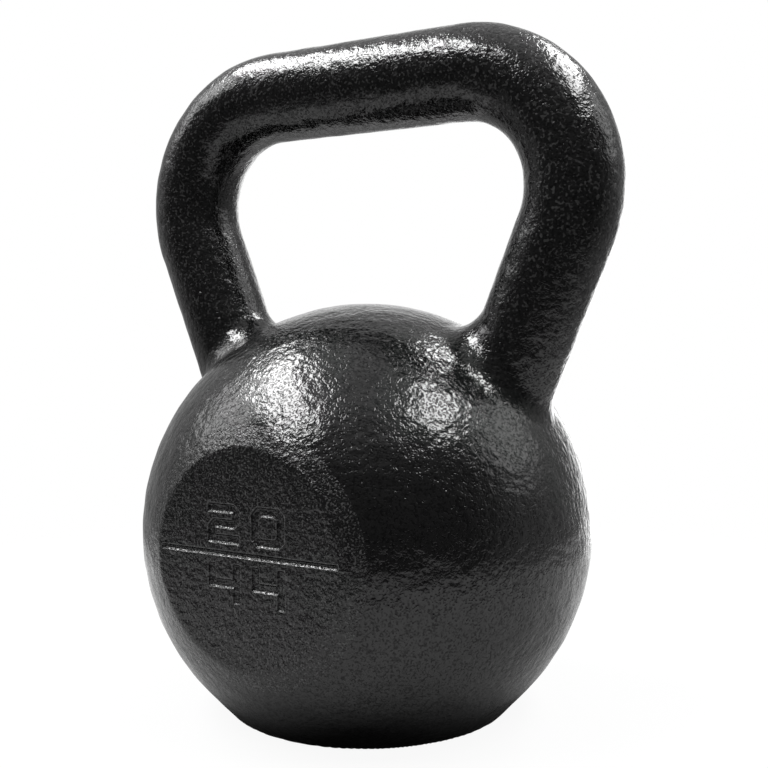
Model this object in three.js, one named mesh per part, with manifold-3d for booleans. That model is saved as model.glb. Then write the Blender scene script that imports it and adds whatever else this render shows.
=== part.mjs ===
// A cast-iron kettlebell: a ball with a flat base and two flat faces, under a bent round handle.
// Millimetres, +Z up. The origin is the centre of the face that it stands on, the grip runs
// along X, and the face with the sunk figures looks along -Y.

import * as THREE from 'three';
import { mergeVertices } from 'three/addons/utils/BufferGeometryUtils.js';
import { ParametricGeometry } from 'three/addons/geometries/ParametricGeometry.js';
import Module from 'manifold-3d';

const wasm = await Module();
wasm.setup();

// Driving dimensions, in millimetres and degrees.

const ballRadius = 85;
const ballCentreHeight = 67.6; // from the resting face up to the ball's centre
const footHeight = 10; // the ball runs down to the resting face as a cone from this height
const rimRadius = 2; // rounding between the foot and the resting face
const faceDepth = 8.6; // how far each flat face is sunk below the ball's surface
const faceThickness = 4;

const gripDiameter = 34.4;
const windowHeight = 64.4; // clear height between the top of the ball and the grip
const handleWidth = 200.6; // outside width over both corners
const cornerRadius = 42; // bend of the handle's centre line
const rootAngle = 45; // from the top of the ball round to where a horn's centre line enters it
const rootFillet = 11.8; // hollow rounding between a horn and the ball
const rootHeight = 3; // height above the ball of the flat that a horn stands on

const figureHeight = 13;
const figureWidth = 13;
const figureSpacing = 5; // between two figures on one line
const strokeWidth = 2.8;
const strokeChamfer = 2.2;
const lineSpacing = 2.6; // from the bar to the figures above and below it
const barHeight = 1.6;
const barMargin = 1.5; // from the end of the bar to the rim of the front face
const barOffset = 1.7; // height of the bar above the ball's centre
const markDepth = 0.8; // how far the bar and the figures are sunk into the front face

const clearance = 0.3; // between neighbouring solids

// Fineness of the curved surfaces.

const ballSegments = 72;
const ballRings = 26;
const rimSteps = 3;
const tubeSegments = 40;
const cornerSteps = 16;
const filletSteps = 7;

// Places that follow from the dimensions. The handle is worked out for its right side, at +X.

const gripRadius = gripDiameter / 2;
const ballCentre = new THREE.Vector3(0, 0, ballCentreHeight);
const gripHeight = ballCentreHeight + ballRadius + windowHeight + gripRadius;
const faceDistance = ballRadius - faceDepth;
const faceRadius = Math.sqrt(ballRadius ** 2 - faceDistance ** 2);
const cornerCentre = new THREE.Vector3(
  handleWidth / 2 - gripRadius - cornerRadius,
  0,
  gripHeight - cornerRadius,
);
const rootNormal = directionAt(THREE.MathUtils.degToRad(90 - rootAngle));
const rootPoint = ballCentre.clone().addScaledVector(rootNormal, ballRadius);
const hornTurn = turnOfHorn();
const hornDirection = directionAt(Math.PI / 2 - hornTurn);
const hornOutward = directionAt(-hornTurn);
const hornTop = cornerCentre.clone().addScaledVector(hornOutward, cornerRadius);

// A unit vector in the XZ plane, at an angle from +X up towards +Z.
function directionAt(angle) {
  return new THREE.Vector3(Math.cos(angle), 0, Math.sin(angle));
}

// How far a horn leans from the vertical, so that its line from the ball is tangent to the corner.
function turnOfHorn() {
  const across = cornerCentre.x - rootPoint.x;
  const up = cornerCentre.z - rootPoint.z;
  return Math.asin(cornerRadius / Math.hypot(across, up)) + Math.atan2(across, up);
}

// Closed geometry to solid and back.

function solid(geometry) {
  const bare = geometry.clone();
  bare.deleteAttribute('normal');
  bare.deleteAttribute('uv');
  const merged = mergeVertices(bare, 1e-4);
  const vertProperties = new Float32Array(merged.attributes.position.array);
  const triVerts = new Uint32Array(withoutSlivers(merged.index.array));
  return new wasm.Manifold(new wasm.Mesh({ numProp: 3, vertProperties, triVerts }));
}

// Drops the triangles that merging has closed up, as at the poles of a revolved surface.
function withoutSlivers(index) {
  const kept = [];
  for (let i = 0; i < index.length; i += 3) {
    const [a, b, c] = index.slice(i, i + 3);
    if (a !== b && b !== c && c !== a) kept.push(a, b, c);
  }
  return kept;
}

function geometryOf(body) {
  const { vertProperties, triVerts } = body.getMesh();
  const geometry = new THREE.BufferGeometry();
  geometry.setAttribute('position', new THREE.BufferAttribute(vertProperties, 3));
  geometry.setIndex(new THREE.BufferAttribute(triVerts, 1));
  geometry.computeVertexNormals();
  return geometry;
}

// Everything on the side of a plane that its normal points to.
function beyond(point, normal) {
  const reach = 4 * (ballRadius + windowHeight + handleWidth);
  const block = new THREE.BoxGeometry(reach, reach, reach);
  block.translate(0, 0, reach / 2);
  block.applyQuaternion(new THREE.Quaternion().setFromUnitVectors(up(), normal));
  block.translate(point.x, point.y, point.z);
  return solid(block);
}

function up() {
  return new THREE.Vector3(0, 0, 1);
}

// Ball

// Half outline of the ball with its foot, from the centre of the resting face to the top.
function ballProfile() {
  const footTurn = Math.acos((ballCentreHeight - footHeight) / ballRadius);
  const footRadius = ballRadius * Math.sin(footTurn);
  const coneFoot = footRadius - footHeight / Math.tan(footTurn);
  const flatRadius = coneFoot - rimRadius * Math.tan(footTurn / 2);
  const points = [new THREE.Vector2(0, 0)];
  for (let i = 0; i <= rimSteps; i++) {
    const turn = (footTurn * i) / rimSteps;
    const height = rimRadius * (1 - Math.cos(turn));
    points.push(new THREE.Vector2(flatRadius + rimRadius * Math.sin(turn), height));
  }
  for (let i = 0; i <= ballRings; i++) {
    const turn = footTurn + ((Math.PI - footTurn) * i) / ballRings;
    const radius = i < ballRings ? ballRadius * Math.sin(turn) : 0;
    points.push(new THREE.Vector2(radius, ballCentreHeight - ballRadius * Math.cos(turn)));
  }
  return points;
}

function wholeBall() {
  const geometry = new THREE.LatheGeometry(ballProfile(), ballSegments);
  geometry.rotateX(Math.PI / 2);
  return solid(geometry);
}

// Right horn, from inside the ball to the corner, with the hollow rounding at its root. The
// rounding is the surface that a sphere of its radius leaves as it rolls round the horn,
// touching the horn and the ball.
function hornWithRoot() {
  const sideways = new THREE.Vector3().subVectors(hornTop, ballCentre).dot(hornOutward);
  const axisFoot = ballCentre.clone().addScaledVector(hornOutward, sideways);
  const reach = gripRadius + rootFillet;
  const rings = filletSteps + 4;
  const place = (turn, ring, target) => {
    const out = hornOutward.clone().multiplyScalar(Math.cos(turn));
    out.y = Math.sin(turn);
    const spread = sideways ** 2 + reach ** 2 + 2 * sideways * reach * Math.cos(turn);
    const along = Math.sqrt((ballRadius + rootFillet) ** 2 - spread);
    const roller = axisFoot.clone().addScaledVector(hornDirection, along);
    roller.addScaledVector(out, reach);
    const toBall = new THREE.Vector3().subVectors(ballCentre, roller).normalize();
    const toHorn = out.clone().negate();
    if (ring === 0) target.lerpVectors(ballCentre, rootPoint, 0.8);
    else if (ring === 1) target.copy(ballCentre).addScaledVector(toBall, -0.9 * ballRadius);
    else if (ring <= filletSteps + 2) {
      const share = (ring - 2) / filletSteps;
      target.copy(roller).addScaledVector(between(toBall, toHorn, share), rootFillet);
    } else {
      target.copy(hornTop).addScaledVector(hornDirection, -clearance);
      if (ring < rings) target.addScaledVector(out, gripRadius);
    }
  };
  const surface = (u, v, target) => {
    const turn = u < 1 ? 2 * Math.PI * u : 0;
    place(turn, Math.round(v * rings), target);
  };
  return solid(new ParametricGeometry(surface, tubeSegments, rings));
}

// The unit vector that lies a share of the way round from one unit vector to another.
function between(from, to, share) {
  const angle = from.angleTo(to);
  const start = Math.sin((1 - share) * angle) / Math.sin(angle);
  const end = Math.sin(share * angle) / Math.sin(angle);
  return from.clone().multiplyScalar(start).addScaledVector(to, end);
}

// The ball is divided at level planes over its foot and behind its faces, and each horn
// stands on a flat that faces away from the ball's centre.

function footPlane(offset) {
  return new THREE.Vector3(0, 0, footHeight - offset);
}

function facePlane(depth) {
  return new THREE.Vector3(0, -faceDistance + depth, 0);
}

function rootPlane(offset) {
  return ballCentre.clone().addScaledVector(rootNormal, ballRadius + rootHeight + offset);
}

function turned(geometry) {
  return geometry.clone().rotateZ(Math.PI);
}

function ballGeometry(ball, hornRoot) {
  const stub = geometryOf(hornRoot.subtract(beyond(rootPlane(0), rootNormal)));
  const withHorns = ball.add(solid(stub)).add(solid(turned(stub)));
  const forward = new THREE.Vector3(0, -1, 0);
  const faceCut = geometryOf(beyond(facePlane(faceThickness), forward));
  const middle = withHorns.subtract(solid(faceCut)).subtract(solid(turned(faceCut)));
  return geometryOf(middle.intersect(beyond(footPlane(0), up())));
}

function baseGeometry(ball) {
  return geometryOf(ball.subtract(beyond(footPlane(clearance), up())));
}

function faceGeometry(ball) {
  const forward = new THREE.Vector3(0, -1, 0);
  const front = ball.intersect(beyond(facePlane(faceThickness - clearance), forward));
  const flat = front.subtract(beyond(facePlane(0), forward));
  return geometryOf(flat.intersect(beyond(footPlane(0), up())));
}

function hornGeometry(hornRoot) {
  return geometryOf(hornRoot.intersect(beyond(rootPlane(clearance), rootNormal)));
}

// Handle

class Bend extends THREE.Curve {
  constructor(centre, radius, startAngle, sweep) {
    super();
    Object.assign(this, { centre, radius, startAngle, sweep });
  }

  getPoint(t, target = new THREE.Vector3()) {
    const out = directionAt(this.startAngle + this.sweep * t);
    return target.copy(this.centre).addScaledVector(out, this.radius);
  }
}

function tube(path, steps) {
  const section = new THREE.Shape().absarc(0, 0, gripRadius, 0, 2 * Math.PI);
  const curveSegments = tubeSegments / 2;
  const options = { extrudePath: path, steps, curveSegments, bevelEnabled: false };
  return geometryOf(solid(new THREE.ExtrudeGeometry(section, options)));
}

function cornerGeometry() {
  const sweep = Math.PI / 2 + hornTurn;
  return tube(new Bend(cornerCentre, cornerRadius, -hornTurn, sweep), cornerSteps);
}

function gripGeometry() {
  const end = new THREE.Vector3(cornerCentre.x - clearance, 0, gripHeight);
  return tube(new THREE.LineCurve3(end.clone().setX(-end.x), end), 1);
}

// Sunk figures and bar. Each figure is drawn with its lower left corner at the origin.

function outline(corners) {
  return new THREE.Shape(corners.map(([x, y]) => new THREE.Vector2(x, y)));
}

function chamferedBox(inset, chamfer) {
  const [right, top] = [figureWidth - inset, figureHeight - inset];
  return [
    [inset + chamfer, inset],
    [right - chamfer, inset],
    [right, inset + chamfer],
    [right, top - chamfer],
    [right - chamfer, top],
    [inset + chamfer, top],
    [inset, top - chamfer],
    [inset, inset + chamfer],
  ];
}

function zeroShape() {
  const shape = outline(chamferedBox(0, strokeChamfer));
  const innerChamfer = strokeChamfer / 2;
  shape.holes.push(outline(chamferedBox(strokeWidth, innerChamfer).reverse()));
  return shape;
}

function twoShape() {
  const [low, high] = middleStroke();
  const [right, top] = [figureWidth, figureHeight];
  return outline([
    [0, 0],
    [right, 0],
    [right, strokeWidth],
    [strokeWidth, strokeWidth],
    [strokeWidth, low],
    [right - strokeChamfer, low],
    [right, low + strokeChamfer],
    [right, top - strokeChamfer],
    [right - strokeChamfer, top],
    [0, top],
    [0, top - strokeWidth],
    [right - strokeWidth, top - strokeWidth],
    [right - strokeWidth, high],
    [strokeChamfer, high],
    [0, high - strokeChamfer],
  ]);
}

function fourShape() {
  const [low, high] = middleStroke();
  const [right, top] = [figureWidth, figureHeight];
  return outline([
    [0, low],
    [right - strokeWidth, low],
    [right - strokeWidth, 0],
    [right, 0],
    [right, top],
    [right - strokeWidth, top],
    [right - strokeWidth, high],
    [strokeWidth, high],
    [strokeWidth, top],
    [0, top],
  ]);
}

function middleStroke() {
  const middle = figureHeight / 2;
  return [middle - strokeWidth / 2, middle + strokeWidth / 2];
}

function barShape() {
  const half = faceRadius - barMargin;
  return outline([
    [-half, -barHeight / 2],
    [half, -barHeight / 2],
    [half, barHeight / 2],
    [-half, barHeight / 2],
  ]);
}

// Two lines of figures with a bar between them, as what is cut out of the front face.
function markCutter() {
  const above = barHeight / 2 + lineSpacing;
  const below = -above - figureHeight;
  const left = -figureSpacing / 2 - figureWidth;
  const right = figureSpacing / 2;
  const marks = [
    [barShape(), 0, 0],
    [twoShape(), left, above],
    [zeroShape(), right, above],
    [fourShape(), left, below],
    [fourShape(), right, below],
  ];
  const cutters = marks.map(([shape, x, y]) => {
    const geometry = new THREE.ExtrudeGeometry(shape, { depth: 2 * markDepth, bevelEnabled: false });
    geometry.translate(x, y, 0);
    geometry.rotateX(Math.PI / 2);
    geometry.translate(0, -faceDistance + markDepth, ballCentreHeight + barOffset);
    return solid(geometry);
  });
  return cutters.reduce((all, cutter) => all.add(cutter));
}

// Looks of the enamel: glossy on the casting, a little duller on the faces.

const bodyEnamel = new THREE.MeshStandardMaterial({ color: 0x161616, roughness: 0.32, metalness: 0 });
const faceEnamel = new THREE.MeshStandardMaterial({ color: 0x121212, roughness: 0.42, metalness: 0 });

function part(name, geometry, material) {
  const mesh = new THREE.Mesh(geometry, material);
  mesh.name = name;
  return mesh;
}

// Assembly

function kettlebell() {
  const group = new THREE.Group();
  const ball = wholeBall();
  const hornRoot = hornWithRoot();
  const plainFace = faceGeometry(ball);
  const markedFace = geometryOf(solid(plainFace).subtract(markCutter()));
  const backFace = part('back_face', plainFace, faceEnamel);
  backFace.rotation.z = Math.PI;
  group.add(
    part('ball', ballGeometry(ball, hornRoot), bodyEnamel),
    part('base', baseGeometry(ball), bodyEnamel),
    part('front_face', markedFace, faceEnamel),
    backFace,
    handleSide('right', hornGeometry(hornRoot)),
    handleSide('left', hornGeometry(hornRoot)),
    part('grip', gripGeometry(), bodyEnamel),
  );
  return group;
}

function handleSide(side, horn) {
  const group = new THREE.Group();
  group.add(part(`${side}_horn`, horn, bodyEnamel));
  group.add(part(`${side}_corner`, cornerGeometry(), bodyEnamel));
  group.rotation.z = side === 'left' ? Math.PI : 0;
  return group;
}

export default kettlebell();
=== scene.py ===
"""A cast-iron kettlebell in black hammered enamel, standing on a pale floor under two soft lights.

Everything is in metres, +Z up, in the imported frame: the kettlebell stands on z = 0, its grip runs
along X and its figures look along -Y. Its sizes come from the frame's nodes.
"""

import math

import bmesh
import bpy
import numpy as np
from mathutils import Matrix, Vector


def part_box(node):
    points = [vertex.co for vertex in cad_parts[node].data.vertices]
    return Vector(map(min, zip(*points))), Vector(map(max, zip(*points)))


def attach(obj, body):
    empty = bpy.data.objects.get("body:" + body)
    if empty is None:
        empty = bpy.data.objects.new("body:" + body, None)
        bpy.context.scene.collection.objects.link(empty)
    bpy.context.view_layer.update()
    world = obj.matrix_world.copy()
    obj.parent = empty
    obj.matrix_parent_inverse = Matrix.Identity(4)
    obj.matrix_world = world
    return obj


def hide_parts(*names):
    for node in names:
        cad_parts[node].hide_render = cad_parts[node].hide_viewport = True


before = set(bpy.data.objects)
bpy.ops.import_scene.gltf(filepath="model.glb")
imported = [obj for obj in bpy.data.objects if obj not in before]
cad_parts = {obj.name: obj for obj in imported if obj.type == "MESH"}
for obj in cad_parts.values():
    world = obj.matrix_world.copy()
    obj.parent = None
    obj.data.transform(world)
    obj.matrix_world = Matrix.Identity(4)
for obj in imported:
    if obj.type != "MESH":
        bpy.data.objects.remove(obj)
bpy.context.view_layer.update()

MM = 0.001

# Sizes that the nodes give.

BALL_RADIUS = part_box("ball")[1].x
BALL_HEIGHT = (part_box("front_face")[0].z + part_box("front_face")[1].z) / 2
FOOT_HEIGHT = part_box("ball")[0].z
FACE_DISTANCE = -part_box("front_face")[0].y
FACE_BACK = -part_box("ball")[0].y
GRIP_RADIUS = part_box("grip")[1].y
GRIP_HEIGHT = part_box("grip")[1].z - GRIP_RADIUS
BEND_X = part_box("right_corner")[0].x
BEND_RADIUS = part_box("right_corner")[1].x - GRIP_RADIUS - BEND_X

# Sizes that boxes can't give.

ROOT_ANGLE = math.radians(45)  # from the top of the ball to a horn's centre line
ROOT_FLAT = 3 * MM  # height above the ball of the plane between ball and horn
ROOT_FILLET = 11.8 * MM
RIM = 2 * MM  # rounding of the foot's edge
CREASE = 5 * MM  # rounding of each face's edge

BALL_CENTRE = np.array([0, 0, BALL_HEIGHT])
FOOT_TURN = math.acos((BALL_HEIGHT - FOOT_HEIGHT) / BALL_RADIUS)
ROOT = BALL_RADIUS * np.array([math.sin(ROOT_ANGLE), math.cos(ROOT_ANGLE)]) + [0, BALL_HEIGHT]
BEND = np.array([BEND_X, GRIP_HEIGHT - BEND_RADIUS])
HORN_LEAN = math.asin(BEND_RADIUS / math.dist(BEND, ROOT)) + math.atan2(*(BEND - ROOT))
HORN_UP = np.array([math.sin(HORN_LEAN), math.cos(HORN_LEAN)])
HORN_TOP = BEND + BEND_RADIUS * np.array([math.cos(HORN_LEAN), -math.sin(HORN_LEAN)])
HORN_LENGTH = math.dist(HORN_TOP, ROOT) + 25 * MM  # down to a point inside the ball


# The casting's surface, as a distance that is negative inside the iron.

def ball_shape(p):
    """Distance from the ball with its tapered foot, and the direction in which it grows."""
    q = p - BALL_CENTRE
    reach = np.linalg.norm(q, axis=1)
    ring = np.maximum(np.hypot(q[:, 0], q[:, 1]), 1e-9)
    sine, cosine = math.sin(FOOT_TURN), math.cos(FOOT_TURN)
    cone = (ring - BALL_RADIUS * sine) * sine - (q[:, 2] + BALL_RADIUS * cosine) * cosine
    cone_way = np.column_stack([q[:, :2] / ring[:, None] * sine, np.full(len(q), -cosine)])
    under = np.arctan2(ring, -q[:, 2]) < FOOT_TURN
    distance = np.where(under, cone, reach - BALL_RADIUS)
    return distance, np.where(under[:, None], cone_way, q / reach[:, None])


def handle_shape(p):
    """Distance from the bent bar of the handle, and the direction in which it grows."""
    flat = np.column_stack([np.abs(p[:, 0]), p[:, 2]])
    on_grip = np.column_stack([np.minimum(flat[:, 0], BEND_X), np.full(len(p), GRIP_HEIGHT)])
    turn = np.clip(np.arctan2(*(flat - BEND).T[::-1]), -HORN_LEAN, math.pi / 2)
    on_bend = BEND + BEND_RADIUS * np.column_stack([np.cos(turn), np.sin(turn)])
    along = np.clip((flat - HORN_TOP) @ HORN_UP, -HORN_LENGTH, 0)
    on_horn = HORN_TOP + along[:, None] * HORN_UP
    offsets = np.stack([flat - near for near in (on_grip, on_bend, on_horn)])
    nearest = np.argmin((offsets ** 2).sum(2), axis=0)
    offset = offsets[nearest, np.arange(len(p))]
    way = np.column_stack([offset[:, 0] * np.sign(p[:, 0]), p[:, 1], offset[:, 1]])
    reach = np.maximum(np.linalg.norm(way, axis=1), 1e-9)
    return reach - GRIP_RADIUS, way / reach[:, None]


def joined(a, b, cosine, radius):
    """Both shapes together, with a rolling sphere's fillet where they meet at that angle."""
    k = np.maximum(1 - cosine ** 2, 1e-3)
    u = ((radius - a) - cosine * (radius - b)) / k
    v = ((radius - b) - cosine * (radius - a)) / k
    fillet = radius - np.sqrt(np.maximum(u * u + v * v + 2 * u * v * cosine, 0))
    inside = (u > 0) & (v > 0) & (a < radius) & (b < radius)
    return np.where(inside, np.minimum(fillet, np.minimum(a, b)), np.minimum(a, b))


def cut(a, b, cosine, radius):
    """What is inside both shapes, with the edge between them rounded."""
    return -joined(-a, -b, cosine, radius)


def make_waves(seed, count, shortest, longest):
    """Wave vectors and phases in all directions, whose sum is an even, aimless waviness."""
    random = np.random.default_rng(seed)
    ways = random.normal(size=(count, 3))
    ways /= np.linalg.norm(ways, axis=1)[:, None]
    lengths = random.uniform(shortest, longest, count)
    return ways * (2 * math.pi / lengths)[:, None], random.uniform(0, 2 * math.pi, count)


SAND_WAVES = make_waves(4, 28, 7 * MM, 16 * MM)
SAND_DEPTH = 0.05 * MM


def lumps(p, waves, depth):
    """Unevenness that the sand mould leaves, only ever inwards."""
    vectors, phases = waves
    total = np.sin(p @ vectors.T + phases).sum(1) * math.sqrt(2 / len(phases))
    return depth * (np.clip(total, -2.5, 2.5) + 2.5)


# Figures sunk into the front face. Their outlines come from the node's own outer face.

GROOVE_DEPTH = 0.75 * MM
GROOVE_SHOULDER = 0.35 * MM  # how far outside its outline a groove begins
GROOVE_WALL = 0.55 * MM  # how far inside its outline it reaches its depth
GROOVE_STEP = 0.15 * MM


def mark_outlines():
    """The edges round the figures, as pairs of points in X and Z."""
    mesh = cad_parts["front_face"].data
    counts = {}
    for face in mesh.polygons:
        corners = [mesh.vertices[i].co for i in face.vertices]
        if max(corner.y for corner in corners) > -FACE_DISTANCE + 1e-6:
            continue
        flat = [(round(corner.x, 7), round(corner.z, 7)) for corner in corners]
        for edge in zip(flat, flat[1:] + flat[:1]):
            key = tuple(sorted(edge))
            counts[key] = counts.get(key, 0) + 1
    edges = np.array([edge for edge, count in counts.items() if count == 1])
    reach = np.linalg.norm(edges - [0, BALL_HEIGHT], axis=2).min(1)
    return edges[reach < reach.max() - MM]


def depth_inside(edges, x, z):
    """Distance from the outlines, positive inside them."""
    point = np.stack([x, z], -1)[..., None, :]
    start, end = edges[:, 0], edges[:, 1]
    along = end - start
    share = ((point - start) * along).sum(-1) / (along ** 2).sum(-1)
    near = start + np.clip(share, 0, 1)[..., None] * along
    distance = np.linalg.norm(point - near, axis=-1).min(-1)
    level = point[..., 1]
    spans = (start[:, 1] > level) != (end[:, 1] > level)
    rise = np.where(along[:, 1] == 0, 1, along[:, 1])
    crossing = start[:, 0] + (level - start[:, 1]) / rise * along[:, 0]
    inside = (spans & (point[..., 0] < crossing)).sum(-1) % 2 == 1
    return np.where(inside, distance, -distance)


def softened(grid, rounds):
    """The grid with each value drawn towards its neighbours'."""
    for _ in range(rounds):
        padded = np.pad(grid, 1, mode="edge")
        rows = (padded[:-2] + 2 * padded[1:-1] + padded[2:]) / 4
        grid = (rows[:, :-2] + 2 * rows[:, 1:-1] + rows[:, 2:]) / 4
    return grid


def groove_map():
    """Depth of the grooves on a grid over the front face: its corner and the values."""
    edges = mark_outlines()
    margin = 2 * MM
    low = edges.min((0, 1)) - margin
    high = edges.max((0, 1)) + margin
    x, z = np.meshgrid(*[np.arange(a, b, GROOVE_STEP) for a, b in zip(low, high)], indexing="ij")
    inside = depth_inside(edges, x, z)
    share = np.clip((inside + GROOVE_SHOULDER) / (GROOVE_SHOULDER + GROOVE_WALL), 0, 1)
    return low, GROOVE_DEPTH * softened(share * share * (3 - 2 * share), 2)


GROOVE_CORNER, GROOVES = groove_map()


def groove_depth(p):
    """Depth of the grooves at each point, read between the grid's values."""
    place = (p[:, [0, 2]] - GROOVE_CORNER) / GROOVE_STEP
    last = np.array(GROOVES.shape) - 2
    cell = np.clip(np.floor(place).astype(int), 0, last)
    u, v = np.clip(place - cell, 0, 1).T
    i, j = cell.T
    near = GROOVES[i, j] * (1 - u) + GROOVES[i + 1, j] * u
    far = GROOVES[i, j + 1] * (1 - u) + GROOVES[i + 1, j + 1] * u
    return np.where(p[:, 1] < 0, near * (1 - v) + far * v, 0)


def casting(p):
    """Distance from the surface of the finished casting."""
    ball, ball_way = ball_shape(p)
    handle, handle_way = handle_shape(p)
    body = joined(ball, handle, (ball_way * handle_way).sum(1), ROOT_FILLET)
    body = body + lumps(p, SAND_WAVES, SAND_DEPTH)
    face = np.abs(p[:, 1]) - FACE_DISTANCE + lumps(p, SAND_WAVES, SAND_DEPTH / 2)
    face = face + groove_depth(p)
    body = cut(body, face, np.abs(ball_way[:, 1]), CREASE)
    return cut(body, -p[:, 2], -ball_way[:, 2], RIM)


def slope(p, step=0.02 * MM):
    """How fast the casting's distance grows along each axis."""
    shifts = step * np.eye(3)
    return np.column_stack([(casting(p + s) - casting(p - s)) / (2 * step) for s in shifts])


def on_surface(p, rounds):
    """The points moved onto the casting's surface."""
    for _ in range(rounds):
        g = slope(p)
        p = p - (casting(p) / np.maximum((g ** 2).sum(1), 0.1))[:, None] * g
    return p


# Meshes

VOXEL = 1.1 * MM
GROOVE_CUTS = 3  # cuts across each square beside a groove
GROOVE_MARGIN = 5  # steps round a groove in which the squares are cut


def points_of(mesh):
    flat = np.empty(len(mesh.vertices) * 3)
    mesh.vertices.foreach_get("co", flat)
    return flat.reshape(-1, 3)


def centre_line():
    """Points along the handle, from inside the ball on the right round to the left."""
    turns = np.linspace(-HORN_LEAN, math.pi / 2, 24)
    bend = BEND + BEND_RADIUS * np.column_stack([np.cos(turns), np.sin(turns)])
    right = [HORN_TOP - HORN_LENGTH * HORN_UP, *bend]
    left = [(-x, z) for x, z in reversed(right)]
    return [Vector((x, 0, z)) for x, z in [*right, *left]]


def rough_casting():
    """The ball and the handle's bar as overlapping closed shells."""
    curve = bpy.data.curves.new("rough_handle", "CURVE")
    curve.dimensions = "3D"
    curve.bevel_depth = GRIP_RADIUS
    curve.bevel_resolution = 12
    curve.use_fill_caps = True
    line = centre_line()
    spline = curve.splines.new("POLY")
    spline.points.add(len(line) - 1)
    for point, place in zip(spline.points, line):
        point.co = (*place, 1)
    bar = bpy.data.objects.new("rough_handle", curve)
    bm = bmesh.new()
    bm.from_mesh(bar.to_mesh())
    bmesh.ops.create_icosphere(
        bm, subdivisions=6, radius=BALL_RADIUS, matrix=Matrix.Translation(BALL_CENTRE)
    )
    mesh = bpy.data.meshes.new("rough_casting")
    bm.to_mesh(mesh)
    bm.free()
    bpy.data.objects.remove(bar)
    return mesh


def remeshed(mesh, voxel):
    """An even mesh of squares over everything in the mesh."""
    shape = bpy.data.objects.new("remeshed", mesh)
    bpy.context.scene.collection.objects.link(shape)
    remesh = shape.modifiers.new("remesh", "REMESH")
    remesh.mode = "VOXEL"
    remesh.voxel_size = voxel
    evaluated = shape.evaluated_get(bpy.context.evaluated_depsgraph_get())
    made = bpy.data.meshes.new_from_object(evaluated)
    bpy.data.objects.remove(shape)
    return made


def settle(mesh, rounds):
    """Moves a mesh's points onto the casting's surface."""
    mesh.vertices.foreach_set("co", on_surface(points_of(mesh), rounds).ravel())
    mesh.update()


def near_grooves(point):
    """Whether a groove is within a few steps of the point."""
    if point.y >= -FACE_BACK:
        return False
    x, z = (Vector((point.x, point.z)) - Vector(GROOVE_CORNER)) / GROOVE_STEP
    i, j = round(x), round(z)
    rows = slice(max(i - GROOVE_MARGIN, 0), max(i + GROOVE_MARGIN + 1, 0))
    columns = slice(max(j - GROOVE_MARGIN, 0), max(j + GROOVE_MARGIN + 1, 0))
    around = GROOVES[rows, columns]
    return around.size > 0 and around.max() > 0.01 * GROOVE_DEPTH


def refined(mesh):
    """The mesh with its squares cut finer round the grooves."""
    bm = bmesh.new()
    bm.from_mesh(mesh)
    fine = {v for v in bm.verts if near_grooves(v.co)}
    edges = [e for e in bm.edges if e.verts[0] in fine or e.verts[1] in fine]
    bmesh.ops.subdivide_edges(bm, edges=edges, cuts=GROOVE_CUTS, use_grid_fill=True)
    bm.to_mesh(mesh)
    bm.free()


def cast_mesh():
    mesh = rough_casting()
    for voxel in (1.6 * MM, VOXEL):
        mesh = remeshed(mesh, voxel)
        settle(mesh, 4)
    refined(mesh)
    settle(mesh, 3)
    return mesh


def part_of(mesh, planes):
    """The closed part of a mesh that is in front of every plane, given as (point, normal)."""
    bm = bmesh.new()
    bm.from_mesh(mesh)
    for point, normal in planes:
        everything = [*bm.verts, *bm.edges, *bm.faces]
        bmesh.ops.bisect_plane(
            bm, geom=everything, plane_co=point, plane_no=normal, clear_inner=True, dist=1e-7
        )
        rim = [edge for edge in bm.edges if edge.is_boundary]
        made = bmesh.ops.triangle_fill(bm, edges=rim, normal=-Vector(normal), use_beauty=False)
        for face in made["geom"]:
            if isinstance(face, bmesh.types.BMFace):
                face.material_index = 1
    part = bpy.data.meshes.new("part")
    bm.to_mesh(part)
    bm.free()
    return part


def smooth_outside(mesh):
    """Gives the outer skin the true surface's normals, and keeps the hidden cuts flat."""
    g = slope(points_of(mesh))
    normals = g / np.linalg.norm(g, axis=1)[:, None]
    corner_normals = normals[[loop.vertex_index for loop in mesh.loops]]
    mesh.shade_smooth()
    for face in mesh.polygons:
        if face.material_index == 1:
            corner_normals[face.loop_start:face.loop_start + face.loop_total] = face.normal
        face.material_index = 0
    mesh.normals_split_custom_set(corner_normals.tolist())


WORN_DEPTH = 0.12  # share of a groove's depth at which its edge is worn most
WALL_DEPTH = 0.6  # share of a groove's depth at the middle of its wall


def mark_grooves(mesh):
    """Notes where each groove's edge is worn and where painted shade darkens its walls that turn
    away from above.
    """
    p = points_of(mesh)
    depth = groove_depth(p) / GROOVE_DEPTH
    g = slope(p)
    up = g[:, 2] / np.linalg.norm(g, axis=1)
    worn = np.clip(1 - np.abs(depth - WORN_DEPTH) / WORN_DEPTH, 0, 1)
    wall = np.clip(1 - np.abs(depth - WALL_DEPTH) / (1 - WALL_DEPTH), 0, 1)
    # The second value is painted shade, laid on the groove walls that face down.
    for name, values in {"worn": worn, "painted_shade": wall * np.clip(0.7 - 2 * up, 0, 1)}.items():
        mesh.attributes.new(name, "FLOAT", "POINT").data.foreach_set("value", values)


def place(piece_name, mesh, node, slot, material):
    piece = bpy.data.objects.new(piece_name, mesh)
    bpy.context.scene.collection.objects.link(piece)
    mesh.name = piece_name
    mesh.materials.clear()
    mesh.materials.append(material)
    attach(piece, "root")
    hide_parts(node)


def flipped(plane):
    point, normal = plane
    return point, [-n for n in normal]


def mirrored(plane):
    """The same plane on the left side."""
    (px, py, pz), (nx, ny, nz) = plane
    return (-px, py, pz), (-nx, ny, nz)


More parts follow.
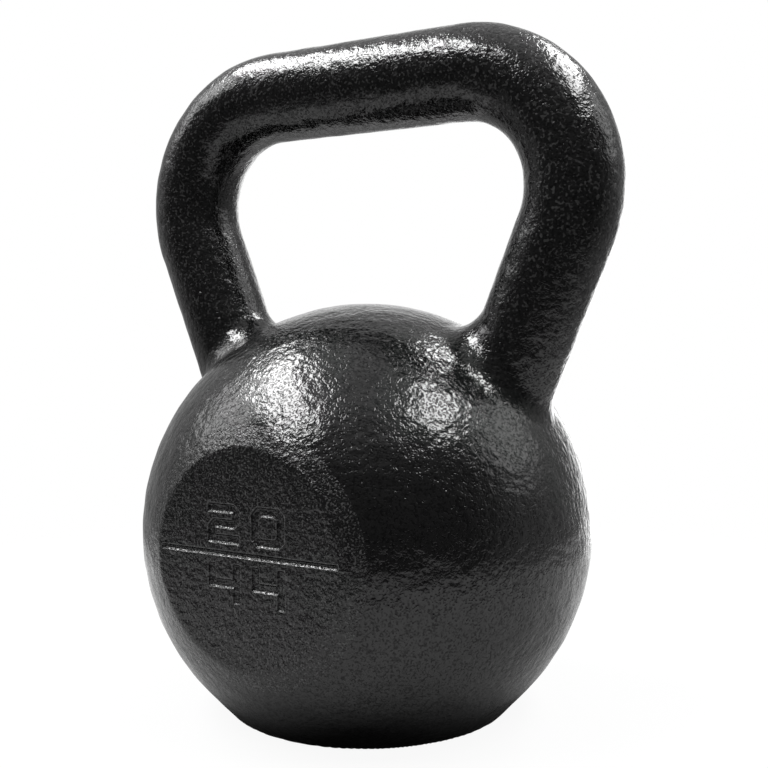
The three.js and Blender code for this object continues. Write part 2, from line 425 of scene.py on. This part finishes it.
def casting_parts():
    """Each node of the casting with the planes that bound its piece."""
    foot = ((0, 0, FOOT_HEIGHT), (0, 0, 1))
    front = ((0, -FACE_BACK, 0), (0, 1, 0))
    back = ((0, FACE_BACK, 0), (0, -1, 0))
    way = (math.sin(ROOT_ANGLE), 0, math.cos(ROOT_ANGLE))
    root = (tuple(BALL_CENTRE + (BALL_RADIUS + ROOT_FLAT) * np.array(way)), way)
    horn_top = ((HORN_TOP[0], 0, HORN_TOP[1]), (HORN_UP[0], 0, HORN_UP[1]))
    grip_end = ((BEND_X, 0, 0), (1, 0, 0))
    above_window = ((0, 0, GRIP_HEIGHT - BEND_RADIUS), (0, 0, 1))
    below_roots = (flipped(root), flipped(mirrored(root)))
    parts = {
        "base": [flipped(foot)],
        "ball": [foot, front, back, *below_roots],
        "front_face": [flipped(front), foot],
        "back_face": [flipped(back), foot],
        "grip": [flipped(grip_end), flipped(mirrored(grip_end)), above_window],
        "right_horn": [grip_end, root, flipped(horn_top)],
        "right_corner": [grip_end, horn_top],
    }
    for side in ("horn", "corner"):
        parts[f"left_{side}"] = [mirrored(plane) for plane in parts[f"right_{side}"]]
    return parts


# Enamel

class Nodes:
    """Adds shader nodes to a tree and joins them. Inputs are named, or numbered from 0."""

    def __init__(self, tree):
        self.tree = tree
        tree.nodes.clear()

    def add(self, kind, settings=None, **inputs):
        node = self.tree.nodes.new(kind)
        for name, value in (settings or {}).items():
            setattr(node, name, value)
        for name, value in inputs.items():
            self.give(node, name.replace("_", " "), value)
        return node

    def give(self, node, name, value):
        socket = node.inputs[int(name)] if name.isdigit() else node.inputs[name]
        if isinstance(value, bpy.types.NodeSocket):
            self.tree.links.new(value, socket)
        else:
            socket.default_value = value

    def noise(self, place, size, detail=0.0):
        return self.add(
            "ShaderNodeTexNoise", Vector=place, Scale=1 / size, Detail=detail
        ).outputs["Fac"]

    def between(self, value, low, high, start=0.0, end=1.0):
        """A smooth change from start to end as the value goes from low to high."""
        return self.add(
            "ShaderNodeMapRange", {"interpolation_type": "SMOOTHSTEP"},
            Value=value, From_Min=low, From_Max=high, To_Min=start, To_Max=end,
        ).outputs["Result"]

    def scaled(self, value, start, end):
        """An even change from start to end as the value goes from 0 to 1."""
        return self.add(
            "ShaderNodeMapRange", Value=value, To_Min=start, To_Max=end
        ).outputs["Result"]

    def math(self, operation, *values):
        inputs = {str(i): value for i, value in enumerate(values)}
        return self.add("ShaderNodeMath", {"operation": operation}, **inputs).outputs["Value"]

    def towards(self, way, direction):
        """Cosine of the angle between two directions."""
        return self.add(
            "ShaderNodeVectorMath", {"operation": "DOT_PRODUCT"}, **{"0": way, "1": direction}
        ).outputs["Value"]

    def mixed(self, share, first, second):
        """A colour that goes from the first to the second as the share goes from 0 to 1."""
        inputs = {"0": share, "6": first, "7": second}
        return self.add("ShaderNodeMix", {"data_type": "RGBA"}, **inputs).outputs[2]

    def layered(self, share, first, second):
        """The same for two shaders."""
        inputs = {"0": share, "1": first.outputs[0], "2": second.outputs[0]}
        return self.add("ShaderNodeMixShader", **inputs)


# Depth of each kind of roughness, as a share of the enamel's height.

SWELL_SHARE = 1.7
CREASE_SHARE = 0.16
PIT_SHARE = 0.22
CREASE_WIDTH = 0.09  # in the noise's own units

FULL_SHINE = 0.5
PIT_SHINE = 0.24
SHADED = 0.95  # share of the shine that painted shade takes from a groove's downward-facing wall

BLACK = (0.0010, 0.0010, 0.0011, 1)
WORN = (0.09, 0.09, 0.09, 1)
# Greys of painted glints: specks that stand in for the scattered reflections of the enamel's grain.
PAINTED_GLINT_GREY = (0.028, 0.028, 0.028, 1)
FACE_PAINTED_GLINT_GREY = (0.042, 0.042, 0.042, 1)


def roughness_of(make, place, grain):
    """The enamel's relief: its height, and the noises that it is made of."""
    swells = make.noise(place, 2.0 * grain, 1.0)
    wander = make.noise(place, 1.1 * grain, 1.0)
    fine = make.noise(place, 0.55 * grain)
    ridge = make.math("ABSOLUTE", make.math("SUBTRACT", wander, 0.5))
    broken = make.between(make.noise(place, 1.3 * grain), 0.42, 0.6)
    creases = make.math("MULTIPLY", make.between(ridge, CREASE_WIDTH, 0.0), broken)
    pits = make.between(fine, 0.5, 0.75)
    height = make.math("MULTIPLY", swells, SWELL_SHARE)
    height = make.math("MULTIPLY_ADD", creases, -CREASE_SHARE, height)
    height = make.math("MULTIPLY_ADD", pits, -PIT_SHARE, height)
    return height, wander, fine, make.math("MULTIPLY_ADD", creases, 0.8, pits)


def enamel(name, grain, height, gloss, painted_glint_grey, painted_glint_rise):
    """Black enamel over rough iron: low swells, short creases and scattered pits."""
    material = bpy.data.materials.new(name)
    material.use_nodes = True
    make = Nodes(material.node_tree)
    place = make.add("ShaderNodeTexCoord").outputs["Object"]
    relief, wander, fine, sunk = roughness_of(make, place, grain)
    bump = make.add("ShaderNodeBump", Height=relief, Strength=1.0, Distance=height)
    upward = make.add("ShaderNodeSeparateXYZ", Vector=place).outputs["Z"]
    # Painted glints: grey specks in the colour stand in for the grain's reflections; on the body
    # they lie only above a given height.
    painted_glints = make.between(make.noise(place, 0.7 * grain), 0.54, 0.76)
    painted_glints = make.math("MULTIPLY", painted_glints, make.between(upward, *painted_glint_rise))
    worn = make.add("ShaderNodeAttribute", {"attribute_name": "worn"}).outputs["Fac"]
    worn = make.math("MULTIPLY", worn, make.between(wander, 0.35, 0.55))
    # Painted shade: groove walls that face down are painted black and lose most of their shine.
    painted_shade = make.add("ShaderNodeAttribute", {"attribute_name": "painted_shade"}).outputs["Fac"]
    colour = make.mixed(worn, make.mixed(painted_glints, BLACK, painted_glint_grey), WORN)
    colour = make.mixed(painted_shade, colour, BLACK)
    # Painted shade: creases and pits lose shine as if shaded inside them.
    shine = make.scaled(sunk, FULL_SHINE, PIT_SHINE)
    shine = make.math("MULTIPLY", shine, make.math("MULTIPLY_ADD", painted_shade, -SHADED, 1.0))
    surface = make.add(
        "ShaderNodeBsdfPrincipled", Base_Color=colour, IOR=1.5, Specular_IOR_Level=shine,
        Roughness=make.scaled(fine, gloss * 0.8, gloss * 1.25), Normal=bump.outputs["Normal"],
    )
    make.add("ShaderNodeOutputMaterial", Surface=surface.outputs["BSDF"])
    return material


# Name, grain, height of the relief, gloss, grey of the painted glints, and the heights between
# which the painted glints begin.

MATERIALS = {
    "body_enamel": enamel("body_enamel", 1.4 * MM, 0.2 * MM, 0.14, PAINTED_GLINT_GREY, (0.1, 0.18)),
    "face_enamel": enamel("face_enamel", 1.0 * MM, 0.26 * MM, 0.18, FACE_PAINTED_GLINT_GREY, (-0.1, 0.0)),
}

SLOTS = {"front_face": "face_enamel", "back_face": "face_enamel"}


def build():
    whole = cast_mesh()
    for node, planes in casting_parts().items():
        mesh = part_of(whole, planes)
        smooth_outside(mesh)
        mark_grooves(mesh)
        slot = SLOTS.get(node, "body_enamel")
        place(f"enamelled_{node}", mesh, node, slot, MATERIALS[slot])


# Studio. Directions are given by an azimuth from the way towards the camera, positive to its
# right, and an elevation.

VIEW_TURN = math.radians(30.8)
VIEW_RISE = math.radians(3.05)
VIEW_ROLL = math.radians(-0.235)
VIEW_DISTANCE = 420.57 * MM
VIEW_OFFSET = (6.095 * MM, 54.132 * MM)
SENSOR = 36.0
LENS = 51.15

TO_CAMERA = Vector((math.sin(VIEW_TURN), -math.cos(VIEW_TURN), 0))
TO_RIGHT = Vector((math.cos(VIEW_TURN), math.sin(VIEW_TURN), 0))
UP = Vector((0, 0, 1))
WHITE = (1, 1, 1, 1)


def studio_place(right, forward, height):
    """A point that far to the camera's right, towards it and above the ball's centre."""
    return TO_RIGHT * right + TO_CAMERA * forward + UP * (height + BALL_HEIGHT)


def studio_way(azimuth, elevation):
    a, e = math.radians(azimuth), math.radians(elevation)
    level = TO_RIGHT * math.sin(a) + TO_CAMERA * math.cos(a)
    return level * math.cos(e) + UP * math.sin(e)


def add_camera():
    data = bpy.data.cameras.new("camera")
    data.sensor_width = SENSOR
    data.lens = LENS
    data.clip_start = 0.02
    camera = bpy.data.objects.new("camera", data)
    back = studio_way(0, math.degrees(VIEW_RISE))
    up = back.cross(TO_RIGHT)
    right = TO_RIGHT * math.cos(VIEW_ROLL) + up * math.sin(VIEW_ROLL)
    up = back.cross(right)
    x, y = VIEW_OFFSET
    camera.matrix_world = Matrix((right, up, back)).transposed().to_4x4()
    camera.location = Vector(BALL_CENTRE) + back * VIEW_DISTANCE + right * x + up * y
    bpy.context.scene.collection.objects.link(camera)
    bpy.context.scene.camera = camera


def add_softbox(name, across, along, width, length, height, radiance):
    """A level rectangle of light overhead, shining down."""
    data = bpy.data.lights.new(name, "AREA")
    data.shape = "RECTANGLE"
    data.size = width
    data.size_y = length
    data.energy = radiance * math.pi * width * length
    light = bpy.data.objects.new(name, data)
    light.matrix_world = Matrix((TO_RIGHT, -TO_CAMERA, UP)).transposed().to_4x4()
    light.location = studio_place(across, along, height)
    light.visible_camera = False
    bpy.context.scene.collection.objects.link(light)


FLOOR_RADIUS = 0.5
FLOOR_FADE = (0.24, 0.42)  # distances between which the floor fades into the white
FLOOR_PAINTED_SHADOW = (0.05, 0.085)  # distances over which the floor's paint goes from dark to pale: a painted shadow round the casting


def floor_material():
    """Paint with a painted shadow round the casting in the enamel's reflections, and almost
    shadowless white to the camera.
    """
    material = bpy.data.materials.new("floor")
    material.use_nodes = True
    make = Nodes(material.node_tree)
    place = make.add("ShaderNodeTexCoord").outputs["Object"]
    reach = make.add("ShaderNodeVectorMath", {"operation": "LENGTH"}, **{"0": place})
    reach = reach.outputs["Value"]
    # Painted shadow: the paint is darker close to the casting.
    paint = make.add("ShaderNodeBsdfDiffuse", Color=make.between(reach, *FLOOR_PAINTED_SHADOW, 0.14, 0.38))
    pale = make.add("ShaderNodeBsdfDiffuse", Color=(0.04, 0.04, 0.04, 1))
    glow = make.add("ShaderNodeEmission", Color=WHITE, Strength=0.93)
    bright = make.add("ShaderNodeAddShader", **{"0": pale.outputs[0], "1": glow.outputs[0]})
    seen = make.add("ShaderNodeLightPath").outputs["Is Camera Ray"]
    clear = make.add("ShaderNodeBsdfTransparent")
    lit = make.layered(seen, paint, bright)
    faded = make.layered(make.between(reach, *FLOOR_FADE), lit, clear)
    make.add("ShaderNodeOutputMaterial", Surface=faded.outputs[0])
    return material


def add_floor():
    """A pale round table top whose edge fades into the white around it."""
    bm = bmesh.new()
    bmesh.ops.create_circle(bm, cap_ends=True, segments=96, radius=FLOOR_RADIUS)
    mesh = bpy.data.meshes.new("floor")
    bm.to_mesh(mesh)
    bm.free()
    mesh.materials.append(floor_material())
    floor = bpy.data.objects.new("floor", mesh)
    floor.location.z = -0.05 * MM
    bpy.context.scene.collection.objects.link(floor)


def ramp(make, value, stops):
    """A grey level that follows the stops, given as (sine of elevation, level)."""
    node = make.add("ShaderNodeValToRGB", Fac=value)
    elements = node.color_ramp.elements
    for sine, _ in stops[1:-1]:
        elements.new((sine + 1) / 2)
    for element, (_, level) in zip(elements, stops):
        element.color = (level, level, level, 1)
    return node.outputs["Color"]


# Levels of the room by the sine of the elevation, away from the camera and towards it.

AROUND = [(-1, 0.3), (-0.1, 0.4), (0.6, 0.5), (0.8, 0.7), (1, 1.0)]
FRONT = [(-1, 0.12), (-0.1, 0.12), (0.6, 0.22), (0.75, 0.45), (1, 1.0)]
FRONT_WAY = (-10, 10)  # azimuth and elevation of the dark side's middle
FRONT_EDGE = (-0.1, 0.5)  # cosines from that middle between which the dark side begins

# Azimuth, elevation and level of dim bounced light.

GLOWS = [(-105, 36, 4), (93, 32, 2), (180, 15, 0.7), (160, -4, 2.5)]
GLOW_SPREAD = math.radians(22)


def add_room():
    """White where the camera looks, and elsewhere a room that is dark behind the camera."""
    world = bpy.data.worlds.new("room")
    bpy.context.scene.world = world
    world.use_nodes = True
    make = Nodes(world.node_tree)
    way = make.add("ShaderNodeTexCoord").outputs["Generated"]
    sine = make.add("ShaderNodeSeparateXYZ", Vector=way).outputs["Z"]
    rise = make.math("MULTIPLY_ADD", sine, 0.5, 0.5)
    facing = make.between(make.towards(way, studio_way(*FRONT_WAY)), *FRONT_EDGE)
    room = make.mixed(facing, ramp(make, rise, AROUND), ramp(make, rise, FRONT))
    for azimuth, elevation, level in GLOWS:
        near = make.towards(way, studio_way(azimuth, elevation))
        glow = make.between(near, math.cos(GLOW_SPREAD), 1.0, 0.0, level)
        room = make.add(
            "ShaderNodeVectorMath", {"operation": "ADD"}, **{"0": room, "1": glow}
        ).outputs["Vector"]
    seen = make.add("ShaderNodeLightPath").outputs["Is Camera Ray"]
    shine = make.add("ShaderNodeBackground", Color=make.mixed(seen, room, WHITE), Strength=1.0)
    make.add("ShaderNodeOutputWorld", Surface=shine.outputs[0])


def set_studio():
    add_camera()
    add_softbox("left_softbox", -0.62, 0.05, 0.34, 1.06, 1.0, 21)
    add_softbox("right_softbox", 0.57, 0.0, 0.36, 1.1, 1.0, 16)
    add_floor()
    add_room()
    bpy.context.scene.view_settings.view_transform = "Standard"


build()
set_studio()
